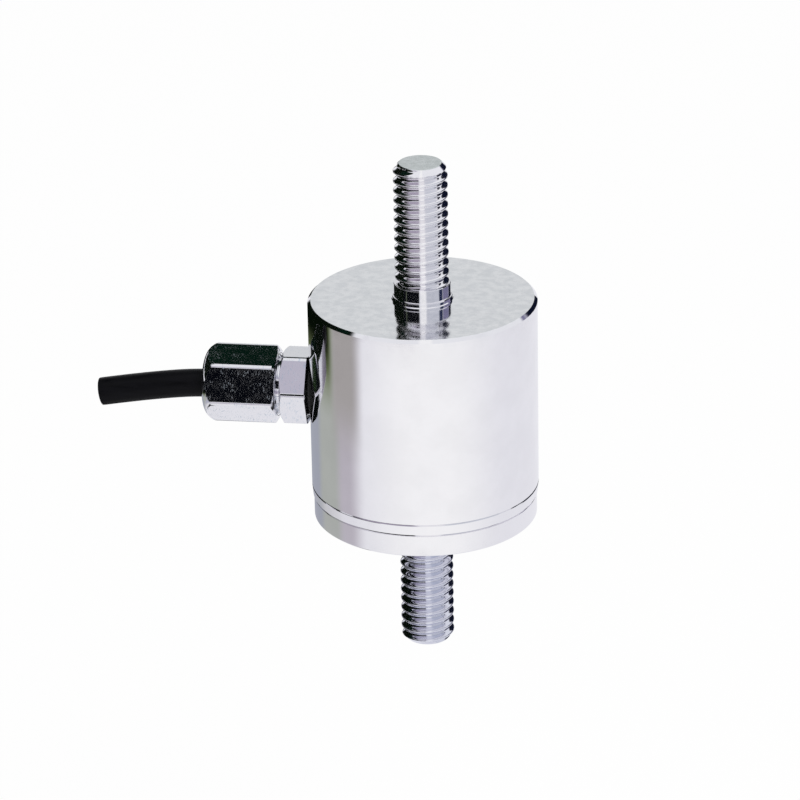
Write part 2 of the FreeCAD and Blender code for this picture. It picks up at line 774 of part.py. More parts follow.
def make_cable():
    """Jacket and braid."""
    jacket = route_from(dim("jacket_trim").value)
    add_shape("cable_jacket", tube(jacket, cable_radius.value, dim("jacket_bore").value / 2,
                                   "cable_jacket"))
    braid = route_from(dim("shield_trim").value)
    add_shape("cable_shield", tube(braid, dim("shield_outer").value / 2,
                                   dim("shield_inner").value / 2, "cable_shield"))


# Where each core leaves the braid (sideways and upwards, in core offsets) and how it goes on
# to its solder joint: points as (distance from the load axis, height above the joint, sideways).
LOWER_FAN = ((4.6, 3.9, 0.8), (4.6, 2.4, 1.3), (4.6, 0.0, 1.3))
UPPER_FAN = ((4.0, 4.7, 1.4), (1.9, 3.6, 3.6), (0.8, 2.0, 4.6), (0.8, 0.0, 4.6))
CORES = (
    ("core_red", -1, 1, UPPER_FAN),
    ("core_black", 1, 1, UPPER_FAN),
    ("core_green", -1, -1, LOWER_FAN),
    ("core_white", 1, -1, LOWER_FAN),
)


def joint_top():
    """Top of the solder joints on the board."""
    return board_top.value + dim("joint_height").value


def make_core(label, side, lift, fan):
    """An insulated core from the cut end to its joint on the board."""
    offset = dim("core_offset").value
    inner = dim("shield_trim").value
    route = route_from(inner, side * offset, lift * offset)
    points = [Vector(-distance, side * sideways, joint_top() + height)
              for distance, height, sideways in reversed(fan)]
    add_shape(label, tube(points + route, dim("core_diameter").value / 2))


def turned_places(radius, spread, angle):
    """Two points beside a radius, turned about the load axis."""
    turn = App.Rotation(Vector(0, 0, 1), angle)
    return [turn.multVec(Vector(radius, side * spread, 0)) for side in (-1, 1)]


# Heights of a jumper wire's two lower bends, over its whole rise
WIRE_BENDS = (0.25, 0.4)


def make_gauge_wires():
    """Two jumper wires from each gauge's tabs, up past the board's edge to their joints."""
    tab_top = (web_top + dim("gauge_thickness") + dim("grid_thickness")).value
    over = board_top.value + dim("wire_rise").value
    low, high = [tab_top + share * (over - tab_top) for share in WIRE_BENDS]
    inside = tab_middle.value
    lane = (web_outer - dim("wire_lane")).value
    joint = gauge_joint_circle.value
    stations = [(inside, tab_top), (inside, low), (lane, high), (lane, over),
                (joint, over), (joint, joint_top())]
    wires = []
    for i in range(GAUGE_COUNT):
        for side in range(2):
            points = []
            for radius, height in stations:
                place = turned_places(radius, dim("tab_spacing").value / 2, gauge_angle(i))[side]
                points.append(place + Vector(0, 0, height))
            wires.append(tube(points, dim("gauge_wire").value / 2))
    add_shape("gauge_wires", Part.Compound(wires))


def solder_joint(place, radius):
    """A small cone of solder on the board."""
    base = Vector(place.x, place.y, board_top.value)
    return Part.makeCone(radius, radius - dim("joint_slope").value, dim("joint_height").value, base)


def make_solder_joints():
    """Joints of the eight gauge wires and the four cores."""
    joints = []
    for i in range(GAUGE_COUNT):
        places = turned_places(gauge_joint_circle.value, dim("tab_spacing").value / 2,
                               gauge_angle(i))
        joints += [solder_joint(p, dim("gauge_joint_radius").value) for p in places]
    for _, side, _, fan in CORES:
        distance, _, sideways = fan[-1]
        joints.append(solder_joint(Vector(-distance, side * sideways, 0),
                                   dim("core_joint_radius").value))
    add_shape("solder_joints", Part.Compound(joints))


def make_all():
    """Every piece, from the body outwards."""
    make_housing()
    make_sensing_element()
    make_lower_stud()
    make_upper_stud()
    make_lock_nut()
    make_board()
    for i in range(GAUGE_COUNT):
        make_gauge(i)
    for i in range(len(CHIP_ANGLES)):
        make_resistor(i)
    make_gauge_wires()
    make_solder_joints()
    make_gland_body()
    make_gland_nut()
    make_seal()
    make_ring("gland_thrust_ring", cable_radius + dim("thrust_clearance"),
              dim("thrust_diameter") / 2, seal_end, thrust_end)
    make_seal_ring()
    make_ring("crimp_ferrule", cable_bore, dim("ferrule_diameter") / 2,
              gland_inner_end - dim("ferrule_length"), gland_inner_end)
    make_cable()
    for core in CORES:
        make_core(*core)
    doc.recompute()


def export_all():
    """Checks every object, then writes each piece to its own file."""
    for item in doc.Objects:
        if "Invalid" in item.State or "Error" in item.State:
            raise RuntimeError("%s did not build: %s" % (item.Label, item.State))
    pieces = [item for item in doc.Objects
              if item.TypeId == "PartDesign::Body" or item.TypeId == "Part::Feature"]
    for piece in pieces:
        shape = piece.Shape
        if shape.isNull() or not shape.isValid() or shape.Volume <= 0:
            raise RuntimeError("%s has no sound shape" % piece.Label)
    os.makedirs("parts", exist_ok=True)
    for piece in pieces:
        piece.Shape.exportStep("parts/%s.step" % piece.Label)
        print("%-20s solids %2d  volume %9.3f" % (piece.Label, len(piece.Shape.Solids),
                                                  piece.Shape.Volume))


make_all()
export_all()
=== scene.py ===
import math

import bpy
from mathutils import Matrix, Vector


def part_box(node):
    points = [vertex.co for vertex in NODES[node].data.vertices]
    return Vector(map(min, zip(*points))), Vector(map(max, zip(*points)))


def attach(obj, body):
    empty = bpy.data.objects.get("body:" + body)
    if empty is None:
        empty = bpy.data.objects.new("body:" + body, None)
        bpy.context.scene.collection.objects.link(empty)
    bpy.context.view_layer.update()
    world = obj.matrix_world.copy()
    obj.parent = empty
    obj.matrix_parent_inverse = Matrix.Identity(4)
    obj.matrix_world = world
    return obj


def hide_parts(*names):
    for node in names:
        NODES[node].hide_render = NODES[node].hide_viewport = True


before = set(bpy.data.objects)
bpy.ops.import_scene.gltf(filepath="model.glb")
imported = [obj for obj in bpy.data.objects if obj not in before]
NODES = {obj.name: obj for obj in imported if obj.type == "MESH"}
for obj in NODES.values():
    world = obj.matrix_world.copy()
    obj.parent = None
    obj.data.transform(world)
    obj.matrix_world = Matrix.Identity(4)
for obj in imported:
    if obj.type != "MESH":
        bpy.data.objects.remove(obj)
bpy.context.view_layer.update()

MM = 0.001


# Sizes in millimetres that the frame gives
LOW, HIGH = 0, 1
X, Z = 0, 2


def edge(node, end, axis):
    """Where a CAD node ends along an axis, in millimetres, rounded to the micrometre."""
    return round(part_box(node)[end][axis] / MM, 3)


def middle(node, axis):
    """The middle of a CAD node along an axis, in millimetres, rounded to the micrometre."""
    return round((edge(node, LOW, axis) + edge(node, HIGH, axis)) / 2, 3)


BODY_RADIUS = edge("housing", HIGH, X)
BODY_HEIGHT = edge("housing", HIGH, Z)
STUD_RADIUS = edge("lower_stud", HIGH, X)
STUD_REACH = -edge("lower_stud", LOW, Z)
LOWER_SHANK_END = edge("lower_stud", HIGH, Z)
UPPER_SHANK_END = edge("upper_stud", LOW, Z)
FLANGE_RADIUS = edge("upper_stud", HIGH, X)
GLAND_HEIGHT = middle("gland_body", Z)
SPINDLE_START = -edge("gland_body", HIGH, X)
SPINDLE_END = -edge("gland_body", LOW, X)
NUT_START = -edge("gland_nut", HIGH, X)
NUT_END = -edge("gland_nut", LOW, X)

# Sizes of the studs, in millimetres; a pair is (out, up), and a phase is in turns of the thread
STUD_TIP_DEPTH = 0.65
STUD_TIP_LENGTH = 0.65
STUD_TIP_RADIUS = STUD_RADIUS - STUD_TIP_DEPTH
STUD_COLUMNS = 112
THREAD_PITCH = 1.12
THREAD_DEPTH = 0.54
UPPER_PHASE = 0.0
LOWER_PHASE = -0.14
RELIEF_DEPTH = 0.45
RELIEF_LENGTH = 1.0
FLANGE_HEIGHT = 0.5
FLANGE_FOOT = (0.07, 0.08)
FLANGE_CHAMFER = 0.1
FLANGE_MIDDLE = 0.03
COLLAR_RADIUS = 3.17
COLLAR_HEIGHT = 1.5
COLLAR_FOOT = (0.03, 0.03)
COLLAR_CHAMFER = 0.12
COLLAR_MIDDLE = 0.04
EDGE_HOLD = 0.04
FACE_HOLD = 0.01

# Sizes of the cable, in millimetres; a point of its route is (distance from the axis, drop)
CABLE_RADIUS = 1.57
JACKET_BORE = 1.05
INNER_END_BREAK = 0.03
CUT_END_BREAK = 0.02
CABLE_ROUTE = ((6.2, 0.0), (23.4, 0.0), (30.4, 0.66), (36.65, 1.78))

# Sizes of the gland, in millimetres; a pair is (across, along the axis), and turns are in degrees
SLIP_GAP = 0.02
FIT_GAP = 0.05
HEX_ACROSS = 7.8
HEX_STAND_OFF = 0.05
HEX_LENGTH = 3.02
HEX_START = BODY_RADIUS + HEX_STAND_OFF
HEX_END = HEX_START + HEX_LENGTH
HEX_CHAMFER = 0.4
HEX_BREAK = 0.08
EDGE_ROUND = 0.72
BASE_TURN = 35.0
BASE_ROWS = 6
GLAND_BORE = CABLE_RADIUS + SLIP_GAP
PORT_RADIUS = 2.5
PORT_CHAMFER = 0.1
NECK_RADIUS = 3.1
NECK_FILLET = 0.1
NECK_LENGTH = 0.26
SPINDLE_RADIUS = 3.5
SPINDLE_CHAMFER = (0.2, 0.19)
POCKET_RADIUS = 2.65
POCKET_DEPTH = 3.6
POCKET_START = SPINDLE_END - POCKET_DEPTH
NUT_TURN = 17.0
NUT_ROWS = 12
NUT_BORE = SPINDLE_RADIUS + FIT_GAP
NUT_END_WALL = 2.6
NUT_DOME = 2.0
DOME_ROWS = 10
MOUTH_RADIUS = 2.0
MOUTH_CHAMFER = 0.15
MOUTH_MIDDLE = (0.06, 0.04)

# A hexagon's columns: how many on half a rounded corner, then degrees past it, and degrees from
# the corner on a facet
ROUND_COLUMNS = 5
BESIDE_ROUND = (0.35, 0.8, 2)
FACET_COLUMNS = (8, 12, 18, 24, 28)

# A colour mix's sockets: its two inputs and its result
MIX_FIRST, MIX_SECOND, MIX_RESULT = 6, 7, 2


# Node helpers
def with_alpha(color):
    """A colour as a socket takes it; a socket that is to be linked stays as it is."""
    return color if isinstance(color, bpy.types.NodeSocket) else (*color, 1.0)


class Nodes:
    """Makes nodes in a tree and links what is handed in as a socket."""

    def __init__(self, tree):
        self.tree = tree
        tree.nodes.clear()

    def node(self, kind, inputs=None, **settings):
        """A node of one kind, with its settings and its inputs."""
        made = self.tree.nodes.new(kind)
        for key, value in settings.items():
            setattr(made, key, value)
        for key, value in (inputs or {}).items():
            if isinstance(value, bpy.types.NodeSocket):
                self.tree.links.new(value, made.inputs[key])
            else:
                made.inputs[key].default_value = value
        return made

    def along(self, vector, direction):
        """How far a vector reaches in a direction."""
        return self.node("ShaderNodeVectorMath", {0: vector, 1: direction},
                         operation="DOT_PRODUCT").outputs["Value"]

    def place(self):
        """Position on the part, in millimetres."""
        found = self.node("ShaderNodeTexCoord")
        scaled = self.node("ShaderNodeVectorMath", {0: found.outputs["Object"], "Scale": 1 / MM},
                           operation="SCALE")
        return scaled.outputs[0]

    def split(self, vector):
        """The three parts of a vector."""
        return self.node("ShaderNodeSeparateXYZ", {0: vector}).outputs

    def stretch(self, vector, scale):
        """A vector with each part multiplied by its own scale."""
        return self.node("ShaderNodeVectorMath", {0: vector, 1: scale}, operation="MULTIPLY").outputs[0]

    def noise(self, vector, scale, detail=3.0, rough=0.55):
        """Cloudy values from 0 to 1."""
        made = self.node("ShaderNodeTexNoise",
                         {"Vector": vector, "Scale": scale, "Detail": detail, "Roughness": rough})
        return made.outputs["Fac"]

    def spread(self, value, low, high, new_low=0.0, new_high=1.0):
        """A smooth step from one value to another."""
        made = self.node("ShaderNodeMapRange", {"Value": value, "From Min": low, "From Max": high,
                                                "To Min": new_low, "To Max": new_high},
                         interpolation_type="SMOOTHSTEP")
        return made.outputs["Result"]

    def blend(self, share, first, second):
        """A colour between two colours."""
        made = self.node("ShaderNodeMix", {"Factor": share, MIX_FIRST: with_alpha(first),
                                           MIX_SECOND: with_alpha(second)}, data_type="RGBA")
        return made.outputs[MIX_RESULT]

    def math(self, operation, first, second=0.0, third=0.0):
        """One step of arithmetic."""
        made = self.node("ShaderNodeMath", {0: first, 1: second, 2: third}, operation=operation)
        return made.outputs[0]

    def bump(self, height, strength, depth, under=None):
        """Relief of a depth in metres, on another relief where one is handed in."""
        inputs = {"Height": height, "Strength": strength, "Distance": depth}
        if under is not None:
            inputs["Normal"] = under
        return self.node("ShaderNodeBump", inputs).outputs["Normal"]

    def light(self, kind, color, strength=1.0):
        """A background or an emission of one colour."""
        return self.node(kind, {"Color": with_alpha(color), "Strength": strength}).outputs[0]

    def choose(self, share, first, second):
        """The first shader, or the second one as far as share says."""
        return self.node("ShaderNodeMixShader", {0: share, 1: first, 2: second}).outputs[0]


class Recipe(Nodes):
    """One procedural material and the nodes that make it."""

    def __init__(self, name):
        self.material = bpy.data.materials.new(name)
        self.material.use_nodes = True
        super().__init__(self.material.node_tree)
        self.output = self.node("ShaderNodeOutputMaterial")

    def finish(self, color, roughness, normal, **sockets):
        """Joins colour, roughness and relief in the material's shader."""
        shader = self.node("ShaderNodeBsdfPrincipled",
                           {"Base Color": color, "Roughness": roughness, "Normal": normal})
        for key, value in sockets.items():
            shader.inputs[key.replace("_", " ")].default_value = value
        self.tree.links.new(shader.outputs[0], self.output.inputs["Surface"])
        return self.material


# Materials; places are in millimetres, and a noise's scale is in cycles a millimetre
def lathe_lines(r, place, spacing):
    """Fine lines as a turning tool leaves them: they vary along the axis and the radius only."""
    x, y, z = r.split(place)
    across = r.math("SQRT", r.math("ADD", r.math("MULTIPLY", x, x), r.math("MULTIPLY", y, y)))
    flat = r.node("ShaderNodeCombineXYZ", {0: across, 1: z})
    return r.noise(flat.outputs[0], 1.0 / spacing, 2.0, 0.6)


def turned_steel(r, place, tint, line_depth, roughness):
    """Turned and polished stainless steel: colour, roughness and relief."""
    patches = r.noise(place, 0.22, 3.0)
    color = r.blend(r.spread(patches, 0.35, 0.65), [c * 0.965 for c in tint], tint)
    haze = r.spread(r.noise(place, 0.6, 4.0), 0.35, 0.7, roughness * 0.8, roughness * 1.3)
    return color, haze, r.bump(lathe_lines(r, place, 0.16), 1.0, line_depth)


def body_steel():
    """The polished body; its upper face is finely ground, so that mirror images in it are soft."""
    r = Recipe("body_steel")
    place = r.place()
    color, haze, normal = turned_steel(r, place, (0.875, 0.868, 0.895), 0.0003 * MM, 0.05)
    ground = r.spread(r.split(place)[Z], BODY_HEIGHT - 0.06, BODY_HEIGHT - 0.02)
    cloud = r.noise(place, 0.9, 5.0, 0.65)
    soft = r.spread(cloud, 0.3, 0.7, 0.07, 0.10)
    polished = r.math("MULTIPLY", haze, r.math("SUBTRACT", 1.0, ground))
    rough = r.math("ADD", polished, r.math("MULTIPLY", soft, ground))
    mottled = r.blend(r.spread(cloud, 0.35, 0.65), (0.80, 0.81, 0.83), (0.93, 0.93, 0.94))
    return r.finish(r.blend(ground, color, mottled), rough, normal, Metallic=1.0)


def stud_steel():
    """Bright studs: the lower one is painted darker and bluer, a painted shade for the shadowed floor it
    mirrors, and the upper one's sawn end is rougher, its colour painted a darker greenish grey as a painted
    reflection.
    """
    r = Recipe("stud_steel")
    place = r.place()
    height = r.split(place)[Z]
    tip = BODY_HEIGHT + STUD_REACH
    color, haze, normal = turned_steel(r, place, (0.89, 0.88, 0.91), 0.0006 * MM, 0.08)
    # painted shade: below the body the stud's colour is painted darker and bluer
    painted_shade_below = r.blend(r.spread(height, -1.0, 1.0, 1.0, 0.0), color, (0.72, 0.73, 0.81))
    end_face = r.spread(height, tip - 0.08, tip - 0.03)
    cloud = r.noise(place, 1.4, 5.0, 0.65)
    # painted reflection: the end face's colour is painted a darker greenish grey; its added roughness is the
    # real sawn finish
    painted_end_reflection = r.blend(r.spread(cloud, 0.3, 0.7), (0.56, 0.60, 0.59), (0.72, 0.75, 0.75))
    rough = r.math("ADD", haze, r.math("MULTIPLY", end_face, 0.10))
    return r.finish(r.blend(end_face, painted_shade_below, painted_end_reflection), rough, normal, Metallic=1.0)


def gland_plating():
    """Bright nickel over milled brass, with the cutter's fine chatter left under it."""
    r = Recipe("gland_plating")
    place = r.place()
    marks = r.noise(r.stretch(place, (1.9, 0.6, 0.6)), 4.2, 2.0, 0.6)
    worn = r.spread(r.noise(place, 0.7, 2.0), 0.42, 0.62, 0.25, 1.0)
    chatter = r.math("MULTIPLY", r.spread(marks, 0.50, 0.72), worn)
    stripes = r.noise(r.stretch(place, (3.0, 0.3, 0.3)), 2.4, 2.0, 0.6)
    color = r.blend(chatter, (0.85, 0.845, 0.87), (0.56, 0.65, 0.74))
    smooth = r.spread(r.noise(place, 1.1, 3.0), 0.3, 0.7, 0.05, 0.11)
    rough = r.math("ADD", smooth, r.math("MULTIPLY", chatter, 0.20))
    normal = r.bump(stripes, 1.0, 0.003 * MM, r.bump(chatter, 1.0, 0.0010 * MM))
    return r.finish(color, rough, normal, Metallic=1.0)


def cable_plastic():
    """Black extruded jacket with a faint satin skin."""
    r = Recipe("cable_jacket")
    place = r.place()
    drawn = r.noise(r.stretch(place, (0.25, 2.0, 2.0)), 1.2, 3.0)
    grain = r.noise(place, 9.0, 3.0)
    color = r.blend(r.spread(drawn, 0.3, 0.7), (0.0022, 0.0022, 0.0030), (0.0040, 0.0040, 0.0055))
    rough = r.spread(drawn, 0.3, 0.7, 0.34, 0.48)
    normal = r.bump(grain, 0.6, 0.010 * MM, r.bump(drawn, 0.6, 0.02 * MM))
    return r.finish(color, rough, normal, Specular_IOR_Level=0.08)


def insulation(name, color):
    """Thin coloured insulation."""
    r = Recipe(name)
    place = r.place()
    mottled = r.noise(place, 2.5, 3.0)
    tone = r.blend(r.spread(mottled, 0.3, 0.7), [c * 0.85 for c in color], color)
    normal = r.bump(r.noise(place, 12.0, 2.0), 0.5, 0.006 * MM)
    return r.finish(tone, r.spread(mottled, 0.3, 0.7, 0.35, 0.5), normal)


def braid(name, color):
    """Bright strands that cross each other."""
    r = Recipe(name)
    x, y, z = r.split(r.place())
    along = r.math("MULTIPLY", x, 9.0)
    angle = r.math("ARCTAN2", y, r.math("SUBTRACT", z, GLAND_HEIGHT))
    around = r.math("MULTIPLY", angle, 8.0)
    left = r.math("SINE", r.math("ADD", along, around))
    right = r.math("SINE", r.math("SUBTRACT", along, around))
    weave = r.math("MULTIPLY", left, right)
    tone = r.blend(r.spread(weave, -0.6, 0.6), [c * 0.5 for c in color], color)
    rough = r.spread(weave, -1.0, 1.0, 0.45, 0.28)
    return r.finish(tone, rough, r.bump(weave, 0.8, 0.03 * MM), Metallic=1.0)


def rubber(name, tone):
    """Black moulded rubber."""
    r = Recipe(name)
    grain = r.noise(r.place(), 6.0, 4.0)
    color = r.blend(r.spread(grain, 0.3, 0.7), [tone] * 3, [tone * 1.7] * 3)
    return r.finish(color, r.spread(grain, 0.3, 0.7, 0.5, 0.65), r.bump(grain, 0.5, 0.01 * MM))


def laminate():
    """Green glass-fibre board: the weave shows through the lacquer."""
    r = Recipe("board_laminate")
    x, y, _ = r.split(r.place())
    threads = r.math("MULTIPLY", r.math("SINE", r.math("MULTIPLY", x, 14.0)),
                     r.math("SINE", r.math("MULTIPLY", y, 14.0)))
    color = r.blend(r.spread(threads, -1.0, 1.0), (0.02, 0.12, 0.05), (0.04, 0.20, 0.08))
    return r.finish(color, r.spread(threads, -1.0, 1.0, 0.3, 0.42), r.bump(threads, 0.3, 0.01 * MM))


def plain_kind(name, color, metallic, low, high, scale=2.0):
    """A small hidden part's finish: mottled tone, roughness from low to high and a little relief."""
    r = Recipe(name)
    place = r.place()
    mottled = r.noise(place, scale, 4.0)
    tone = r.blend(r.spread(mottled, 0.3, 0.7), [c * 0.8 for c in color], color)
    normal = r.bump(r.noise(place, scale * 4, 3.0), 0.5, 0.01 * MM)
    return r.finish(tone, r.spread(mottled, 0.3, 0.7, low, high), normal, Metallic=metallic)


MATERIALS = {
    "body_steel": body_steel(),
    "stud_steel": stud_steel(),
    "nut_steel": plain_kind("nut_steel", (0.50, 0.50, 0.52), 1.0, 0.25, 0.4),
    "gland_plating": gland_plating(),
    "ring_brass": plain_kind("ring_brass", (0.72, 0.52, 0.26), 1.0, 0.2, 0.35),
    "seal_rubber": rubber("seal_rubber", 0.006),
    "cable_jacket": cable_plastic(),
    "shield_braid": braid("shield_braid", (0.62, 0.60, 0.58)),
    "core_red": insulation("core_red", (0.50, 0.02, 0.02)),
    "core_black": insulation("core_black", (0.012, 0.012, 0.012)),
    "core_green": insulation("core_green", (0.02, 0.25, 0.06)),
    "core_white": insulation("core_white", (0.70, 0.70, 0.68)),
    "board_laminate": laminate(),
    "chip_ceramic": plain_kind("chip_ceramic", (0.06, 0.06, 0.07), 0.0, 0.4, 0.55),
    "gauge_foil": plain_kind("gauge_foil", (0.60, 0.42, 0.22), 0.7, 0.3, 0.45, 6.0),
    "jumper_wire": plain_kind("jumper_wire", (0.65, 0.36, 0.18), 1.0, 0.25, 0.4, 6.0),
    "solder": plain_kind("solder", (0.62, 0.62, 0.63), 1.0, 0.25, 0.45, 3.0),
}


# Meshes turned about Z; points of a column that lie closer than this become one
SAME_POINT = 1e-6


def polar_mesh(name, angles, columns, thread=None, closed=False):
    """A closed mesh from one column of (radius, height) points for each angle.

    Points of a column that coincide become one vertex, and so do points on the axis. A
    thread is (first row, last row, rows a turn): after a full turn its rows meet the rows
    of the next turn.
    """
    vertices, numbers, on_axis = [], [], {}
    for angle, column in zip(angles, columns):
        row_numbers = []
        before = None
        for radius, height in column:
            if before and math.dist(before, (radius, height)) < SAME_POINT:
                row_numbers.append(row_numbers[-1])
            elif radius < SAME_POINT:
                key = round(height, 6)
                if key not in on_axis:
                    on_axis[key] = len(vertices)
                    vertices.append((0.0, 0.0, height * MM))
                row_numbers.append(on_axis[key])
            else:
                row_numbers.append(len(vertices))
                vertices.append((radius * math.cos(angle) * MM, radius * math.sin(angle) * MM, height * MM))
            before = (radius, height)
        numbers.append(row_numbers)

    def after_turn(k):
        if thread and thread[0] <= k <= thread[1]:
            return min(k + thread[2], thread[1])
        return k

    faces = []
    rows = len(columns[0])
    for i in range(len(angles)):
        last = i == len(angles) - 1
        here, there = numbers[i], numbers[0 if last else i + 1]
        for k in range(rows if closed else rows - 1):
            k2 = (k + 1) % rows
            far = [there[after_turn(k)], there[after_turn(k2)]] if last else [there[k], there[k2]]
            face = []
            for v in (here[k], far[0], far[1], here[k2]):
                if v not in face:
                    face.append(v)
            if len(face) > 2:
                faces.append(face)
    mesh = bpy.data.meshes.new(name)
    mesh.from_pydata(vertices, [], faces)
    mesh.validate()
    mesh.update()
    return mesh


def place_piece(mesh, slot, node, matrix=None, sharp=30.0):
    """Puts a finished mesh in the scene in place of a node; edges above sharp degrees stay sharp."""
    if matrix is not None:
        mesh.transform(matrix)
    mesh.polygons.foreach_set("use_smooth", [True] * len(mesh.polygons))
    mesh.set_sharp_from_angle(angle=math.radians(sharp))
    mesh.materials.append(MATERIALS[slot])
    piece = bpy.data.objects.new(mesh.name, mesh)
    bpy.context.scene.collection.objects.link(piece)
    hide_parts(node)
    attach(piece, "root")
    return piece


# The studs. Half a turn of the thread, from the middle of a crest to the middle of the groove, as
# (share of the pitch, share of the depth); the other half mirrors it
HALF_FORM = ((0.0, 0.0), (0.04, 0.012), (0.08, 0.05), (0.12, 0.13), (0.17, 0.27), (0.25, 0.52),
             (0.33, 0.76), (0.38, 0.88), (0.43, 0.96), (0.5, 1.0))
THREAD_FORM = HALF_FORM + tuple((round(1 - share, 3), depth) for share, depth in HALF_FORM[-2:0:-1])
STUD_ANGLES = [math.tau * i / STUD_COLUMNS for i in range(STUD_COLUMNS)]


def thread_depth(share):
    """Depth at a share of the pitch, over the full depth."""
    share %= 1.0
    form = THREAD_FORM + ((1.0, 0.0),)
    for (a, da), (b, db) in zip(form, form[1:]):
        if share <= b:
            return da + (db - da) * (share - a) / (b - a)
    return 0.0


def tip_limit(distance):
    """A stud's greatest radius at a distance from its tip, where its end is chamfered."""
    slope = (STUD_RADIUS - STUD_TIP_RADIUS) / STUD_TIP_LENGTH
    return STUD_TIP_RADIUS + min(distance, STUD_TIP_LENGTH) * slope


def thread_rows(angle, low, high, tip, phase):
    """The thread's points at one angle, bottom to top."""
    lift = THREAD_PITCH * angle / math.tau + phase * THREAD_PITCH
    turns = math.ceil((high - low) / THREAD_PITCH) + 2
    points = []
    for turn in range(turns):
        for share, _ in THREAD_FORM:
            height = min(max(low + (turn - 1 + share) * THREAD_PITCH + lift, low), high)
            fall = thread_depth((height - low - lift) / THREAD_PITCH)
            radius = min(STUD_RADIUS - THREAD_DEPTH * fall, tip_limit(abs(height - tip)))
            points.append((radius, height))
    return points


def make_stud(name, node, below, low, high, above, tip, phase):
    """A stud with a true helical thread between two heights, and plain points below and above it."""
    columns = [below + thread_rows(a, low, high, tip, phase) + above for a in STUD_ANGLES]
    last = len(columns[0]) - len(above) - 1
    mesh = polar_mesh(name, STUD_ANGLES, columns, (len(below), last, len(THREAD_FORM)))
    place_piece(mesh, "stud_steel", node)


def foot(radius, height, reach):
    """A small fillet, reaching out and up, at the foot of a step, and a point that holds the wall."""
    out, up = reach
    return [(radius + out, height), (radius, height + up), (radius, height + up + EDGE_HOLD)]


def top_edge(radius, height, chamfer, midway):
    """A point that holds the wall of a step, and three points round its upper edge."""
    return [(radius, height - chamfer - EDGE_HOLD), (radius, height - chamfer),
            (radius - midway, height - midway), (radius - chamfer, height)]


def make_upper_stud():
    """The upper stud with its hidden shank, its flange, its plain collar and its thread."""
    flange_top = BODY_HEIGHT + FLANGE_HEIGHT
    collar_top = flange_top + COLLAR_HEIGHT
    tip = BODY_HEIGHT + STUD_REACH
    below = [(0.0, UPPER_SHANK_END), (STUD_TIP_RADIUS, UPPER_SHANK_END),
             (STUD_RADIUS, UPPER_SHANK_END + STUD_TIP_LENGTH), (STUD_RADIUS, BODY_HEIGHT - FACE_HOLD),
             (STUD_RADIUS, BODY_HEIGHT)]
    below += foot(FLANGE_RADIUS, BODY_HEIGHT, FLANGE_FOOT)
    below += top_edge(FLANGE_RADIUS, flange_top, FLANGE_CHAMFER, FLANGE_MIDDLE)
    below += foot(COLLAR_RADIUS, flange_top, COLLAR_FOOT)
    below += top_edge(COLLAR_RADIUS, collar_top, COLLAR_CHAMFER, COLLAR_MIDDLE)
    above = [(STUD_TIP_RADIUS * 0.5, tip), (0.0, tip)]
    make_stud("upper_stud_threaded", "upper_stud", below, collar_top, tip, above, tip, UPPER_PHASE)


def make_lower_stud():
    """The lower stud with its thread, and above it the thread relief and shank in the socket."""
    tip = -STUD_REACH
    relief = STUD_RADIUS - RELIEF_DEPTH
    below = [(0.0, tip), (STUD_TIP_RADIUS * 0.5, tip)]
    above = [(relief, RELIEF_DEPTH), (relief, RELIEF_LENGTH), (STUD_RADIUS, RELIEF_LENGTH + RELIEF_DEPTH),
             (STUD_RADIUS, LOWER_SHANK_END - STUD_TIP_LENGTH), (STUD_TIP_RADIUS, LOWER_SHANK_END),
             (0.0, LOWER_SHANK_END)]
    make_stud("lower_stud_threaded", "lower_stud", below, tip, 0.0, above, tip, LOWER_PHASE)


# The gland's hexagons. A rounded corner's columns end a little past the round, on the facets
HALF_SIDE = math.radians(30)
CORNER = HEX_ACROSS / math.sqrt(3)
ARC_END = math.atan2(EDGE_ROUND / 2, CORNER - EDGE_ROUND / (2 * math.cos(HALF_SIDE)))
CHAMFER_INNER = CORNER - HEX_CHAMFER * math.sqrt(3)
TO_GLAND = Matrix.Translation((0, 0, GLAND_HEIGHT * MM)) @ Matrix.Rotation(math.radians(-90), 4, "Y")


def hexagon_offsets():
    """Where a hexagon's columns stand, in degrees: close together at its rounded corners."""
    arc = math.degrees(ARC_END)
    half = [arc * k / ROUND_COLUMNS for k in range(1, ROUND_COLUMNS + 1)]
    half += [arc + beside for beside in BESIDE_ROUND]
    half += FACET_COLUMNS
    offsets = [-a for a in reversed(half)] + [0] + half + [30]
    return [60 * side + offset for side in range(6) for offset in offsets]


def hexagon_radius(offset):
    """Distance from the axis to a hexagon's surface, at an angle from its nearest corner."""
    half = HEX_ACROSS / 2
    turn = math.radians(abs((offset + 30) % 60 - 30))
    if turn >= ARC_END:
        return half / math.cos(HALF_SIDE - turn)
    centre = (half - EDGE_ROUND) / math.cos(HALF_SIDE)
    return centre * math.cos(turn) + math.sqrt(EDGE_ROUND ** 2 - (centre * math.sin(turn)) ** 2)


def chamfer_start(radius):
    """How far along the axis a hexagon's 30 degree end chamfer reaches at a radius."""
    return max(radius - CHAMFER_INNER, 0.0) / math.sqrt(3)


def make_hexagon(name, node, turn, column_at):
    """A hexagonal piece of the gland, from the column of points at each radius of the hexagon.

    A facet points turn degrees above the horizontal, towards the front.
    """
    columns = [column_at(hexagon_radius(offset)) for offset in hexagon_offsets()]
    angles = [math.radians(offset + turn - 60) for offset in hexagon_offsets()]
    mesh = polar_mesh(name, angles, columns, closed=True)
    place_piece(mesh, "gland_plating", node, matrix=TO_GLAND, sharp=25.0)


